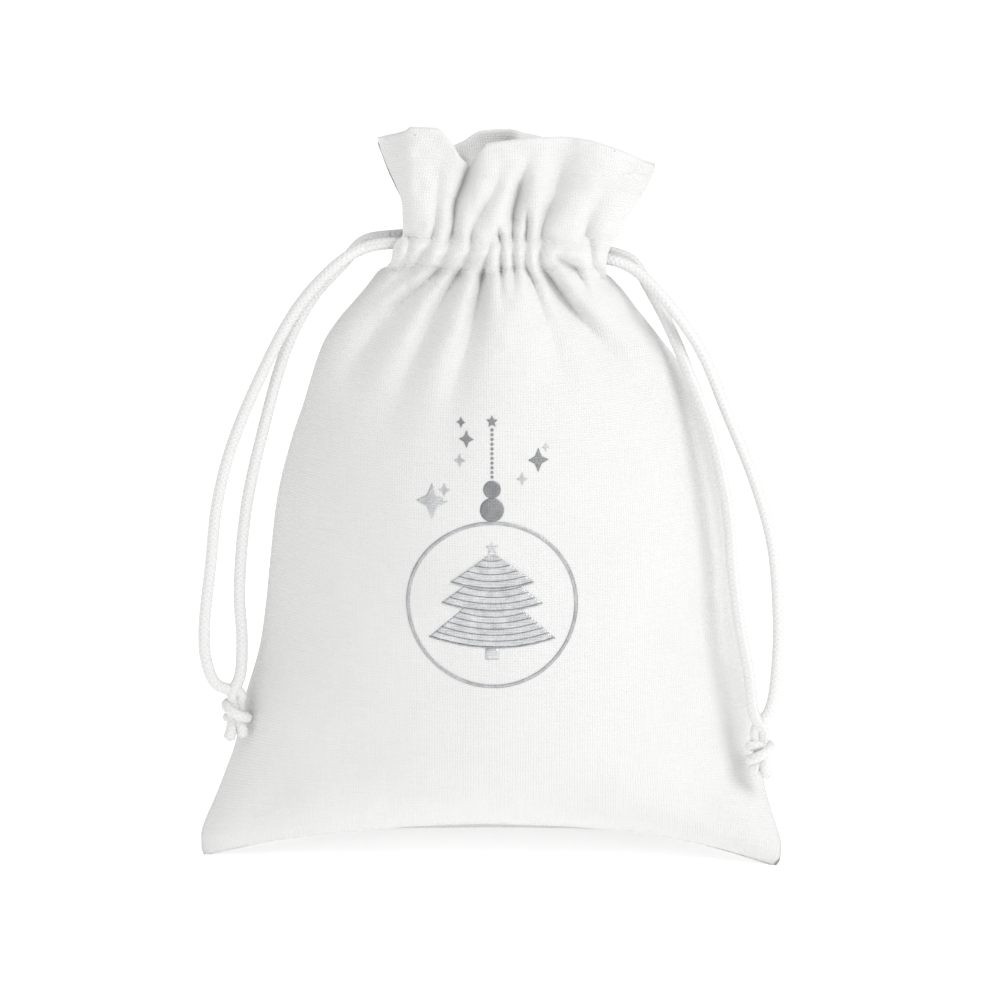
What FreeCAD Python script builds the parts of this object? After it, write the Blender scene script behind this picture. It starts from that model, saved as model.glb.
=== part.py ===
"""Drawstring gift pouch: a filled two-panel cotton bag whose neck is gathered on two cords.

Millimetres. +Z is up, the printed front faces -Y, and the origin is on the floor under the pouch's middle.
The cloth is cut across below the neck, and each cord where it leaves the neck, because those pieces move.
"""
import FreeCAD, Part

import math
import os

V = FreeCAD.Vector
X_AXIS = V(1, 0, 0)
Y_AXIS = V(0, 1, 0)

# The origin is the middle of the bounding box's underside, and this is where it puts the pouch's own middle
MIDDLE = V(1.5, 0.15, 0)

# Cloth
CLOTH = 0.6  # one ply of cotton canvas
PLY_GAP = 0.02  # half the gap left between touching pieces
FRONT = -1
BACK = 1

# Filled body: height above the floor against half width
BODY_TOP = 131.7
BODY_WIDTH = [(0, 73.8), (1.5, 73.7), (8, 72.4), (19, 69.3), (29, 66.6), (45, 63.2), (66, 59.9), (92, 56.6),
              (108, 53.0), (119, 49.9), (BODY_TOP, 43.6)]
# Height against how far each panel stands out from the side seams, from the bottom seam up
FRONT_DEPTH = [(0, 0.0), (1.6, 11.0), (7, 20.0), (17, 26.5), (34, 31.5), (60, 34.5), (86, 34.0), (112, 30.0),
               (BODY_TOP, 25.0)]
BACK_DEPTH = [(0, 0.0), (0.2, 9.0), (0.5, 17.0), (1.1, 23.0), (3.8, 28.0), (12, 31.5), (32, 33.5), (60, 34.5),
              (86, 34.0), (112, 30.0), (BODY_TOP, 25.0)]
SECTION_POWER = 1.5  # 1 is an ellipse, and higher pinches the side seams
BOTTOM_ARCH = 8.0  # the bottom seam's middle stands this far above the two corners
ARCH_FADE = 45.0  # height over which the arch dies out on the front
SAG_REACH = 15.0  # behind the bottom seam, the back panel comes down to the floor within this distance
SETTLE = 1.3  # and is pressed flat by this much
SETTLE_FADE = 12.0
EAR_LEAN = 11.0  # the bottom corners come forward by this much
EAR_TWIST = 5.0  # and the right one by this much more, the left one by this much less
EAR_FADE = 34.0

# Gathered neck: shoulder, channel round the cords, and ruffle
NECK_START = 132.3
CHANNEL_MID = 159.5
CHANNEL_LOW = CHANNEL_MID - 4.4
CHANNEL_HIGH = CHANNEL_MID + 4.4
FULL_HEIGHT = 188.0
RIM_TILT = 2.0  # the ruffle's rim is this much higher at its left end than in its middle
NECK_HALF = 26.8
NECK_WIDTH = [(NECK_START, 43.2), (139.5, 38.4), (145, 34.0), (151, 29.4), (CHANNEL_LOW, NECK_HALF + 0.4),
              (CHANNEL_MID, NECK_HALF), (CHANNEL_HIGH, NECK_HALF + 0.4), (170, 31.0), (180, 34.4),
              (FULL_HEIGHT, 36.0)]
NECK_DEPTH = [(NECK_START, 24.7), (139.5, 20.6), (146, 15.6), (151, 11.8), (CHANNEL_LOW, 9.2), (CHANNEL_MID, 9.0),
              (CHANNEL_HIGH, 8.6), (170, 7.6), (180, 8.0), (FULL_HEIGHT, 9.0)]
CHANNEL_BULK = 5.6  # both plies and the tunnel between them
RUFFLE_BULK = 1.4  # the folded, doubled cloth above the channel
TUNNEL_Y = 6.0
TUNNEL_HEIGHT = 7.2
TUNNEL_DEPTH = 4.2
VALLEYS = [-1.0, -0.65, -0.42, -0.2, 0.03, 0.38, 1.0]  # folds between the ruffle's pleats, from left to right
PLEAT_AT_CHANNEL = 0.4
PLEAT_AT_RIM = 4.6
SHOULDER_PLEAT = 0.35  # share of the gathers' depth that is left where the shoulder is round
FLATTEN_FROM = 141.0  # the round shoulder turns into the flat channel from here up
CHANNEL_EASE = 2.5
RUFFLE_EASE = 3.0

# Cords
CORD_R = 1.5
CORD_STEP = 1.85  # the two cords lie this far above and below the channel's middle
CORD_GAP = 0.2
RETURN_REACH = 2.8
LEAD_LENGTH = 5.2
KNOT_R = 3.6
KNOT_HALF_HEIGHT = 4.2
KNOT_DEPTH = 0.9  # of its width
CORD_END_LENGTH = 2.8
CORD_END_SPREAD = (0.8, 1.7)  # at the knot and at the cut ends

# Each loop outside the neck: side, cord height, slope of its lead in degrees, and points down its two strands and
# at its knot as (distance from the middle, height, distance forward)
LEFT_LOOP = {
    "side": -1,
    "height": CHANNEL_MID + CORD_STEP,
    "slope": 20.0,
    "front": [(40.8, 156.0, 6.5), (51.0, 143.8, 6.5), (60.7, 124.1, 6.5), (69.6, 104.3, 6.5), (73.2, 78.1, 6.5),
              (75.2, 55.7, 6.5), (72.8, 45.6, 6.5), (69.0, 40.2, 6.5)],
    "back": [(47.0, 145.0, -3.0), (53.8, 133.0, -1.0), (60.7, 108.4, 2.0), (64.8, 87.9, 4.0), (66.3, 67.1, 5.5),
             (66.0, 55.0, 6.0), (65.6, 40.6, 6.5)],
    "knot": (67.3, 37.6, 6.5),
}
RIGHT_LOOP = {
    "side": 1,
    "height": CHANNEL_MID - CORD_STEP,
    "slope": 36.0,
    "front": [(42.6, 144.6, 7.0), (50.0, 133.1, 8.0), (57.1, 115.2, 9.0), (64.3, 97.3, 10.0), (70.1, 70.0, 12.0),
              (70.4, 54.2, 13.5), (69.2, 40.0, 14.5), (68.3, 32.4, 14.5)],
    "back": [(43.2, 141.0, -1.0), (49.4, 125.0, 6.0), (53.0, 112.3, 10.0), (58.1, 91.4, 12.5), (59.6, 72.0, 13.2),
             (62.7, 51.2, 14.2), (64.9, 32.4, 14.5)],
    "knot": (66.6, 29.6, 14.5),
}

# Sewing
STITCH_R = 0.2
STITCH_LENGTH = 1.7
STITCH_COUNT = 21
STITCH_LIFT = 0.25
SEAM_WIDTH = 5.0
SEAM_BULK = 1.0
SIDE_SEAM_SPAN = (20.0, 128.7)  # heights
BOTTOM_SEAM_SHARE = 0.68  # of the bottom seam, in its middle

# Foil print on the front, measured on the flat front view
FOIL_LOW = 0.05
FOIL_HIGH = 0.17
PRINT_X = -2.0
BAUBLE_Z = 73.6
BAUBLE_R = 21.6
BAUBLE_LINE = 1.1
CAP_R = (3.0, 2.1)
CHAIN_DOTS = 11
CHAIN_PITCH = 1.15
CHAIN_DOT_R = 0.38
CHAIN_STAR_R = 1.3
CHAIN_STAR_WAIST = 0.5
# Tree tiers as (top, foot) above the bauble's middle and (top, foot) half widths
TREE_TIERS = [(13.1, 5.8, 0.8, 10.6), (5.0, 0.3, 5.7, 12.8), (-1.7, -8.9, 5.6, 16.0)]
TIER_SAG = 1.55
BAND_PITCH = 1.43
BAND_GAP = 0.26
TRUNK_HALF = 1.6
TRUNK_FOOT = -13.9
STAR_R = 1.9
STAR_WAIST = 0.45
# Sparkles as (right of the bauble's middle, above it, half height)
SPARKLES = [(-15.1, 26.4, 4.4), (-12.0, 29.3, 1.6), (-8.1, 36.6, 1.6), (-6.4, 41.8, 2.1), (-7.8, 45.7, 1.3),
            (7.6, 32.1, 1.6), (11.6, 36.6, 2.9), (13.5, 39.6, 1.0)]
SPARKLE_WAIST = 0.4
SMALLEST_FOIL = 0.04  # cubic millimetres: a scrap smaller than this is left out

# Surface grids
BODY_ROWS = 27
ROW_CROWDING = 2.2  # rows are closer together towards the bottom seam
FLOOR_STRETCH = 25.0
BODY_COLUMNS = 37
NECK_ROWS = 23
NECK_COLUMNS = 73
FOIL_ROWS = 15
FOIL_COLUMNS = 15
FOIL_SPAN = (48.0, 127.0)  # heights
FOIL_ANGLE = 34.0  # degrees to each side


def smooth(t):
    """0 below 0, 1 above 1, and a smooth step between."""
    t = min(1.0, max(0.0, t))
    return t * t * (3 - 2 * t)


def stretched(height):
    """The height with its lowest millimetres drawn out, because the profiles are steep at the floor."""
    return height + FLOOR_STRETCH * (1 - math.exp(-height))


def through(points):
    """A smooth curve through (height, value) points, over the stretched height."""
    curve = Part.BSplineCurve()
    curve.interpolate([V(value, 0, stretched(height)) for height, value in points])
    return curve


def value_at(curve, height):
    """The curve's value at a height, by bisection, because the height always rises along it."""
    low = curve.FirstParameter
    high = curve.LastParameter
    for _ in range(40):
        middle = (low + high) / 2
        if curve.value(middle).z < stretched(height):
            low = middle
        else:
            high = middle
    return curve.value(low).x


BODY_WIDTH_CURVE = through(BODY_WIDTH)
DEPTH_CURVES = {FRONT: through(FRONT_DEPTH), BACK: through(BACK_DEPTH)}
NECK_WIDTH_CURVE = through(NECK_WIDTH)
NECK_DEPTH_CURVE = through(NECK_DEPTH)


def ear_curl(across, height):
    """How far forward the side and bottom seams lie, from nothing in the middle to most at the corners."""
    return across ** 2 * (EAR_LEAN + EAR_TWIST * across) * (1 - smooth(height / EAR_FADE))


def body_point(facing, angle, height, grow):
    """A point of the front or back panel. The angle goes from one side seam to the other, the height is that of
    the side seam beside the point, and grow moves the surface outwards by a distance."""
    across = math.sin(angle)
    half = value_at(BODY_WIDTH_CURVE, height) + grow
    deepest = max(depth for _, depth in FRONT_DEPTH)
    depth = value_at(DEPTH_CURVES[facing], height)
    out = depth * (1 + grow / deepest) * math.cos(angle) ** SECTION_POWER
    lift = BOTTOM_ARCH * (1 - smooth(height / ARCH_FADE))
    if facing == BACK:
        on_floor = smooth(out / SAG_REACH)
        lift -= on_floor * (lift + SETTLE * (1 - smooth(height / SETTLE_FADE)))
    sink = grow * (1 - smooth(2 * height / BODY_TOP))
    y = facing * (out + PLY_GAP) - ear_curl(across, height)
    return V(half * across, y, height + lift * (1 - across ** 2) - sink)


def pleat(side, height):
    """How far the gathers stand out at a place across the neck, from -1 to 1, and a height."""
    if height < CHANNEL_LOW:
        size = PLEAT_AT_CHANNEL * smooth((height - NECK_START) / (CHANNEL_LOW - NECK_START))
    else:
        size = PLEAT_AT_CHANNEL + (PLEAT_AT_RIM - PLEAT_AT_CHANNEL) * smooth(
            (height - CHANNEL_HIGH) / (FULL_HEIGHT - CHANNEL_HIGH))
    for left, right in zip(VALLEYS, VALLEYS[1:]):
        if side <= right:
            return size * math.sin(math.pi * (side - left) / (right - left)) ** 2
    return 0.0


def neck_point(side, height, inner):
    """A point of the front neck's outer or inner face, with side from -1 to 1."""
    angle = side * math.pi / 2
    flat = smooth((height - FLATTEN_FROM) / (CHANNEL_LOW - FLATTEN_FROM))
    half = value_at(NECK_WIDTH_CURVE, height)
    depth = value_at(NECK_DEPTH_CURVE, height)
    bulk = CLOTH
    if inner:
        rise = smooth((height - CHANNEL_LOW + CHANNEL_EASE) / CHANNEL_EASE)
        fall = smooth((height - CHANNEL_HIGH) / RUFFLE_EASE)
        bulk = CLOTH + (CHANNEL_BULK - CLOTH) * rise + (RUFFLE_BULK - CHANNEL_BULK) * fall
    x = half * ((1 - flat) * math.sin(angle) + flat * side)
    round_y = -depth * math.cos(angle) ** SECTION_POWER
    flat_y = -depth
    if inner:
        x = x * (1 - (1 - flat) * CLOTH / half)
        round_y = -(depth - CLOTH) * math.cos(angle) ** SECTION_POWER
        flat_y = -depth + bulk
    y = (1 - flat) * round_y + flat * flat_y - pleat(side, height) * (SHOULDER_PLEAT + (1 - SHOULDER_PLEAT) * flat)
    tilt = RIM_TILT * side * smooth((height - CHANNEL_HIGH) / (FULL_HEIGHT - CHANNEL_HIGH))
    return V(x, y - PLY_GAP, height - tilt)


def surface(rows):
    """A smooth surface drawn towards a grid of points. Its edges follow the grid's edges."""
    knots = []
    counts = []
    for poles in (len(rows), len(rows[0])):
        knots.append(list(range(poles - 2)))
        counts.append([4] + [1] * (poles - 4) + [4])
    skin = Part.BSplineSurface()
    skin.buildFromPolesMultsKnots(rows, *counts, *knots, False, False, 3, 3)
    return skin


def sheet(outer_rows, inner_rows):
    """A closed solid between two surfaces through grids of points, joined round their edges."""
    outer = surface(outer_rows)
    inner = surface(inner_rows)
    faces = [outer.toShape(), inner.toShape()]
    u0, u1, v0, v1 = outer.bounds()
    a0, a1, b0, b1 = inner.bounds()
    for own, other in ((outer.uIso(u0), inner.uIso(a0)), (outer.uIso(u1), inner.uIso(a1)),
                       (outer.vIso(v0), inner.vIso(b0)), (outer.vIso(v1), inner.vIso(b1))):
        faces.append(Part.makeRuledSurface(own.toShape(), other.toShape()))
    shell = Part.makeShell(faces)
    shell.sewShape()
    solid = Part.makeSolid(shell)
    if solid.Volume < 0:
        solid.reverse()
    return solid


def panel(facing):
    """A body panel. Where the back one rests on the floor, its underside is pressed flat."""
    angles = [math.pi * (column / (BODY_COLUMNS - 1) - 0.5) for column in range(BODY_COLUMNS)]
    heights = [BODY_TOP * (row / (BODY_ROWS - 1)) ** ROW_CROWDING for row in range(BODY_ROWS)]
    grids = [[[body_point(facing, angle, height, grow) for angle in angles] for height in heights]
             for grow in (0, -CLOTH)]
    under_floor = Part.makeBox(200, 200, 10, V(-100, -100, -10))
    return sheet(*grids).cut(under_floor)


def tunnel(y):
    """The space in one channel for both cords, straight across the neck."""
    reach = 2 * NECK_HALF + 30
    straight = TUNNEL_HEIGHT - TUNNEL_DEPTH
    middle = Part.makeBox(reach, TUNNEL_DEPTH, straight,
                          V(-reach / 2, y - TUNNEL_DEPTH / 2, CHANNEL_MID - straight / 2))
    ends = [Part.makeCylinder(TUNNEL_DEPTH / 2, reach, V(-reach / 2, y, CHANNEL_MID + end * straight / 2), X_AXIS)
            for end in (-1, 1)]
    return middle.fuse(ends[0]).fuse(ends[1])


def front_neck_cloth():
    """Shoulder, channel and ruffle of the front, one folded cloth."""
    heights = [NECK_START + (FULL_HEIGHT - NECK_START) * row / (NECK_ROWS - 1) for row in range(NECK_ROWS)]
    sides = [2 * column / (NECK_COLUMNS - 1) - 1 for column in range(NECK_COLUMNS)]
    grids = [[[neck_point(side, height, inner) for side in sides] for height in heights] for inner in (False, True)]
    return sheet(*grids).cut(tunnel(-TUNNEL_Y))


def turned(shape):
    """The same piece at the back: mirrored through the middle plane."""
    return shape.mirror(V(0, 0, 0), Y_AXIS)


def rod(start, end, radius):
    return Part.makeCylinder(radius, (end - start).Length, start, end - start)


def stitches(height):
    """A row of stitches lying on the front of the neck."""
    row = []
    for index in range(STITCH_COUNT):
        side = 2 * (index + 0.5) / STITCH_COUNT - 1
        start = neck_point(side - STITCH_LENGTH / 2 / NECK_HALF, height, False)
        end = neck_point(side + STITCH_LENGTH / 2 / NECK_HALF, height, False)
        lift = Y_AXIS * (STITCH_R + STITCH_LIFT)
        row.append(rod(start - lift, end - lift, STITCH_R))
    return Part.makeCompound(row)


def cord_run(loop):
    """The stretch of a cord inside the front channel."""
    return rod(V(-NECK_HALF, -TUNNEL_Y, loop["height"]), V(NECK_HALF, -TUNNEL_Y, loop["height"]), CORD_R)


def pipe(points):
    """A round cord through some points."""
    curve = Part.BSplineCurve()
    curve.interpolate(points)
    path = curve.toShape()
    ring = Part.Wire(Part.makeCircle(CORD_R, points[0], path.tangentAt(path.FirstParameter)))
    return Part.Wire(path).makePipeShell([ring], True, False)


def cord_return(loop):
    """The bend where a cord passes from the front channel to the back one, on the side away from its own loop."""
    points = []
    for step in range(9):
        turn = math.pi * (step / 8 - 0.5)
        x = NECK_HALF + 3 * CORD_GAP + RETURN_REACH * math.cos(turn)
        points.append(V(-loop["side"] * x, TUNNEL_Y * math.sin(turn), loop["height"]))
    return pipe(points)


def lead_line(loop):
    """Where a loop's lead starts and its direction, both at the middle plane."""
    slope = math.radians(loop["slope"])
    start = V(loop["side"] * (NECK_HALF + 2 * CORD_GAP + CORD_R * math.sin(slope)), 0, loop["height"])
    return start, V(loop["side"] * math.cos(slope), 0, -math.sin(slope))


def cord_lead(loop):
    """Both strands of a loop just outside the neck, straight, so that they can be drawn out."""
    start, heading = lead_line(loop)
    return Part.makeCompound([rod(start + V(0, y, 0), start + V(0, y, 0) + heading * LEAD_LENGTH, CORD_R)
                              for y in (-TUNNEL_Y, TUNNEL_Y)])


def pivot(loop):
    """Where a loop swings: just past the end of its lead."""
    start, heading = lead_line(loop)
    return start + heading * (LEAD_LENGTH + CORD_GAP + CORD_R)


def placed(loop, point):
    out, height, forward = point
    return V(loop["side"] * out, -forward, height)


def cord_loop(loop):
    """A loop's two strands, the overhand knot that joins them, and the cord's two cut ends."""
    knot = Part.makeSphere(KNOT_R)
    stretch = FreeCAD.Matrix()
    stretch.scale(1.0, KNOT_DEPTH, KNOT_HALF_HEIGHT / KNOT_R)
    knot = knot.transformGeometry(stretch)
    middle = placed(loop, loop["knot"])
    knot.translate(middle)
    pieces = []
    for lean in (-1, 1):
        root = middle + V(lean * CORD_END_SPREAD[0], 0, -1)
        tip = middle + V(lean * CORD_END_SPREAD[1], 0, -KNOT_HALF_HEIGHT - CORD_END_LENGTH + 0.5 * lean)
        pieces.append(rod(root, tip, CORD_R))
    for strand, y in (("front", -TUNNEL_Y), ("back", TUNNEL_Y)):
        top = pivot(loop) + V(0, y, 0)
        pieces.append(Part.makeSphere(CORD_R, top))
        pieces.append(pipe([top] + [placed(loop, point) for point in loop[strand]]))
    return knot.fuse(pieces)


def seam_strip(edges):
    """A flat bound strip between two lines of points, as thick as the overlocked cloth edges."""
    curves = []
    for points in edges:
        curve = Part.BSplineCurve()
        curve.interpolate(points)
        curves.append(curve.toShape())
    return Part.makeRuledSurface(*curves).extrude(Y_AXIS * SEAM_BULK)


def side_seam(side):
    """The sewn and overlocked edges inside a side seam."""
    low, high = SIDE_SEAM_SPAN
    heights = [low + (high - low) * step / 9 for step in range(10)]
    edges = []
    for inset in (3 * CLOTH, 3 * CLOTH + SEAM_WIDTH):
        edges.append([V(side * (value_at(BODY_WIDTH_CURVE, height) - inset),
                        -SEAM_BULK / 2 - ear_curl(side, height), height) for height in heights])
    return seam_strip(edges)


def bottom_seam():
    """The same for the bottom seam, which arches between the corners."""
    half = BODY_WIDTH[0][1]
    edges = []
    for lift in (3 * CLOTH, 3 * CLOTH + SEAM_WIDTH):
        across = [BOTTOM_SEAM_SHARE * step / 5 for step in range(-5, 6)]
        edges.append([V(half * part, -SEAM_BULK / 2 - ear_curl(part, 0), BOTTOM_ARCH * (1 - part ** 2) + lift)
                      for part in across])
    return seam_strip(edges)


def foil_layer():
    """A thin skin just off the front panel that the print is cut from."""
    low, high = FOIL_SPAN
    heights = [low + (high - low) * row / (FOIL_ROWS - 1) for row in range(FOIL_ROWS)]
    angles = [math.radians(FOIL_ANGLE * (2 * column / (FOIL_COLUMNS - 1) - 1)) for column in range(FOIL_COLUMNS)]
    grids = [[[body_point(FRONT, angle, height, grow) for angle in angles] for height in heights]
             for grow in (FOIL_HIGH, FOIL_LOW)]
    return sheet(*grids)


def printed(outlines, layer):
    """Foil pieces: each closed flat outline, seen from the front, cut from the foil layer."""
    pieces = []
    for face in outlines:
        cut = layer.common(face.extrude(-Y_AXIS * 60))
        pieces += [solid for solid in cut.Solids if solid.Volume > SMALLEST_FOIL]
    return Part.makeCompound(pieces)


def disc(x, z, radius):
    return Part.Face(Part.Wire(Part.makeCircle(radius, V(x, 0, z), Y_AXIS)))


def polygon(points):
    return Part.Face(Part.makePolygon([V(x, 0, z) for x, z in points + points[:1]]))


def bauble():
    return [disc(PRINT_X, BAUBLE_Z, BAUBLE_R).cut(disc(PRINT_X, BAUBLE_Z, BAUBLE_R - BAUBLE_LINE))]


def cap():
    top = BAUBLE_Z + BAUBLE_R + CAP_R[0] + 0.1
    return [disc(PRINT_X, top, CAP_R[0]), disc(PRINT_X, top + CAP_R[0] + CAP_R[1] + 0.1, CAP_R[1])]


def chain():
    start = BAUBLE_Z + BAUBLE_R + 2 * sum(CAP_R) + 1.1
    dots = [disc(PRINT_X, start + CHAIN_PITCH * index, CHAIN_DOT_R) for index in range(CHAIN_DOTS)]
    return dots + [star(PRINT_X, start + CHAIN_PITCH * CHAIN_DOTS + 0.8, CHAIN_STAR_R, 5, CHAIN_STAR_WAIST)]


def star(x, z, radius, points, waist):
    """A regular star with its first point up. The waist is the inner radius over the outer."""
    corners = []
    for index in range(2 * points):
        reach = radius * (waist if index % 2 else 1)
        turn = math.pi * index / points
        corners.append((x + reach * math.sin(turn), z + reach * math.cos(turn)))
    return polygon(corners)


def sagging(height, half, thickness):
    """A curved band as wide as twice the half width, sagging in the middle."""
    lines = []
    for drop in (0, thickness):
        ends = [V(PRINT_X + sign * half, 0, BAUBLE_Z + height - drop) for sign in (-1, 1)]
        middle = V(PRINT_X, 0, BAUBLE_Z + height - drop - TIER_SAG * half / TREE_TIERS[0][3])
        lines.append(Part.Arc(ends[0], middle, ends[1]).toShape())
    sides = [Part.makeLine(lines[0].valueAt(getattr(lines[0], end)), lines[1].valueAt(getattr(lines[1], end)))
             for end in ("FirstParameter", "LastParameter")]
    return Part.Face(Part.Wire(Part.__sortEdges__([lines[0], sides[1], lines[1], sides[0]])))


def tree():
    """A tiered tree parted into garland bands, with its trunk and top star."""
    tiers = []
    for top, foot, top_half, foot_half in TREE_TIERS:
        corners = [(PRINT_X + x, BAUBLE_Z + z) for x, z in (
            (-top_half, top), (top_half, top), (foot_half, foot), (-foot_half, foot))]
        tiers.append(polygon(corners))
        belly = sagging(foot, foot_half, 0.001)
        arc = max(belly.OuterWire.Edges, key=lambda edge: edge.Length)
        tiers.append(Part.Face(Part.Wire([arc, Part.makeLine(arc.valueAt(arc.LastParameter),
                                                             arc.valueAt(arc.FirstParameter))])))
    tiers.append(polygon([(PRINT_X + x, BAUBLE_Z + z) for x, z in (
        (-TRUNK_HALF, TREE_TIERS[-1][1]), (TRUNK_HALF, TREE_TIERS[-1][1]), (TRUNK_HALF, TRUNK_FOOT),
        (-TRUNK_HALF, TRUNK_FOOT))]))
    shape = tiers[0].fuse(tiers[1:]).removeSplitter()
    widest = TREE_TIERS[-1][3]
    height = TREE_TIERS[0][0] - BAND_PITCH
    while height > TREE_TIERS[-1][1] - 2 * TIER_SAG:
        shape = shape.cut(sagging(height + TIER_SAG * widest / TREE_TIERS[0][3], widest + 1, BAND_GAP))
        height -= BAND_PITCH
    return shape.Faces + [star(PRINT_X, BAUBLE_Z + TREE_TIERS[0][0] + STAR_R, STAR_R, 5, STAR_WAIST)]


def sparkles():
    return [star(PRINT_X + x, BAUBLE_Z + z, radius, 4, SPARKLE_WAIST) for x, z, radius in SPARKLES]


def build():
    parts = {}
    parts["front_panel"] = panel(FRONT)
    parts["back_panel"] = panel(BACK)
    front = {
        "front_neck_cloth": front_neck_cloth(),
        "front_upper_stitches": stitches(CHANNEL_HIGH),
        "front_lower_stitches": stitches(CHANNEL_LOW),
        "left_cord_front_run": cord_run(LEFT_LOOP),
        "right_cord_front_run": cord_run(RIGHT_LOOP),
    }
    for name, shape in front.items():
        parts[name] = shape
        parts[name.replace("front", "back")] = turned(shape)
    for name, side, loop in (("left", -1, LEFT_LOOP), ("right", 1, RIGHT_LOOP)):
        parts[name + "_cord_return"] = cord_return(loop)
        parts[name + "_cord_lead"] = cord_lead(loop)
        parts[name + "_cord_loop"] = cord_loop(loop)
        parts[name + "_seam_overlock"] = side_seam(side)
    parts["bottom_seam_overlock"] = bottom_seam()
    layer = foil_layer()
    for name, outlines in (("bauble", bauble()), ("cap", cap()), ("chain", chain()), ("tree", tree()),
                           ("sparkles", sparkles())):
        parts["foil_" + name] = printed(outlines, layer)
    return parts


os.makedirs("parts", exist_ok=True)
for node, shape in build().items():
    shape.translate(MIDDLE)
    shape.exportStep("parts/" + node + ".step")
    print(node, "solids", len(shape.Solids), "volume", round(shape.Volume, 1), "valid", shape.isValid())
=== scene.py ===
import math

import bpy
import numpy as np
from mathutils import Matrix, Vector
from mathutils.bvhtree import BVHTree


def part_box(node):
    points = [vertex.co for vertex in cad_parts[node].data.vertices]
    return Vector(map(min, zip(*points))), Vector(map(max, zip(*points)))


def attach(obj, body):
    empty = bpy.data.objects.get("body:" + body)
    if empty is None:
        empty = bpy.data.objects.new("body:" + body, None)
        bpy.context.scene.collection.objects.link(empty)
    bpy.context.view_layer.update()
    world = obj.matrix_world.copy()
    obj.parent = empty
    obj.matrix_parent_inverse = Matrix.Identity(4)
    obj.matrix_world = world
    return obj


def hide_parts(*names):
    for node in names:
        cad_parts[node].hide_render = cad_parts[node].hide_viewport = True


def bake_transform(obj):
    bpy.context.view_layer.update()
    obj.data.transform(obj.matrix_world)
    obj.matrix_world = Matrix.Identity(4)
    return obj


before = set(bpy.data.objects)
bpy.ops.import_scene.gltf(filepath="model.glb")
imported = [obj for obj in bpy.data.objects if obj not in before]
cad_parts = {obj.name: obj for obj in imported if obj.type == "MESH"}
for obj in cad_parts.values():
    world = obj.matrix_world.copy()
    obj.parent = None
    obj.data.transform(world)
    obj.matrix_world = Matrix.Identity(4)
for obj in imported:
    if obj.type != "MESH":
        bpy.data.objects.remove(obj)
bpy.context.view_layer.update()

# Shapes are worked out in millimetres with +X to the right seen from the front, +Y to the back and +Z up,
# about the pouch's own middle plane. to_frame() takes them to the CAD's frame.
MM = 0.001
panel_low, panel_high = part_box("front_panel")
MIDDLE = np.array([(panel_low[0] + panel_high[0]) / 2, panel_high[1], 0.0])
FRONT = -1
BACK = 1

# Cloth: its thickness, the heights of the channel's two seams, and the pouch's outline seen from the front as
# (height, distance from the middle)
CLOTH = 0.6
CHANNEL_LOW = 155.1
CHANNEL_HIGH = 162.2
CHANNEL_MIDDLE = (CHANNEL_LOW + CHANNEL_HIGH) / 2
RUFFLE_TOP = 185.0
LEFT_EDGE = [(0, 75.6), (1.5, 76.2), (5, 76.3), (9, 75.2), (13, 73.4), (19, 70.9), (29, 67.3),
             (40, 65.0), (55, 60.9), (66, 59.4), (76, 58.4), (92, 56.6), (108, 52.8), (118, 49.5),
             (129, 46.2), (134, 44.2), (139, 41.0), (145, 36.0), (151, 31.0), (CHANNEL_LOW, 27.4),
             (159.5, 26.6), (CHANNEL_HIGH, 24.4), (168, 24.4), (179, 28.6), (192, 33.4)]
RIGHT_EDGE = [(0, 70.2), (1.5, 71.2), (5, 71.6), (9, 70.6), (13, 69.2), (19, 67.4), (29, 65.8),
              (40, 64.3), (55, 61.2), (66, 59.9), (76, 59.2), (92, 56.8), (108, 53.3), (118, 50.2),
              (129, 44.6), (134, 40.8), (139, 36.9), (145, 32.4), (151, 28.4), (CHANNEL_LOW, 26.8),
              (159.5, 26.8), (CHANNEL_HIGH, 27.8), (167, 31.4), (176, 36.3), (186, 39.4)]
# Height against how far each cloth stands out from the side seams
FRONT_DEPTH = [(0, 0.0), (1.6, 10.0), (7, 19.5), (17, 26.5), (34, 31.5), (60, 34.2), (86, 33.5),
               (112, 29.5), (125, 26.5), (132, 24.4), (139.5, 20.8), (146, 16.4), (151, 13.0),
               (CHANNEL_LOW, 10.8), (159.5, 10.9), (CHANNEL_HIGH, 9.4), (170, 8.2), (180, 7.4),
               (192, 7.0)]
BACK_DEPTH = [(0, 0.0), (0.2, 9.0), (0.5, 17.0), (1.1, 23.0), (3.8, 28.0), (12, 31.5), (32, 33.5),
              (60, 34.2), (86, 33.5), (112, 29.5), (125, 26.5), (132, 24.4), (139.5, 20.8),
              (146, 16.4), (151, 13.0), (CHANNEL_LOW, 10.8), (159.5, 10.9), (CHANNEL_HIGH, 9.4),
              (170, 6.4), (180, 4.6), (192, 4.0)]
# Height of the ruffle's rim against distance to the right
FRONT_RIM = [(-33.5, 185.4), (-30, 186.4), (-24, 188.9), (-22.4, 190.2), (-16, 190.1), (-13, 187.2),
             (-9.6, 182.0), (-7.4, 179.4), (-5.6, 183.2), (-3, 186.0), (3, 187.0), (10, 187.6),
             (21, 187.0), (29, 184.6), (39, 179.2)]
BACK_RIM = [(-34, 184.8), (-24, 184.8), (-14, 182.8), (-9.9, 183.9), (-4.6, 186.8), (2, 187.2),
            (8, 185.8), (14, 184.4), (24, 182.8), (32, 181.0), (39, 178.8)]
# Rows are lens-shaped up to this height. In the channel they are flat, with ends that drop by this share.
LENS_TOP = 140.0
END_DROP = 0.42
# The ruffle's ends draw in: side, share of the depth, and from how far out over what distance
RUFFLE_ENDS = ((-1, 0.95, 21.5, 9), (1, 0.45, 24, 14))
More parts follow.
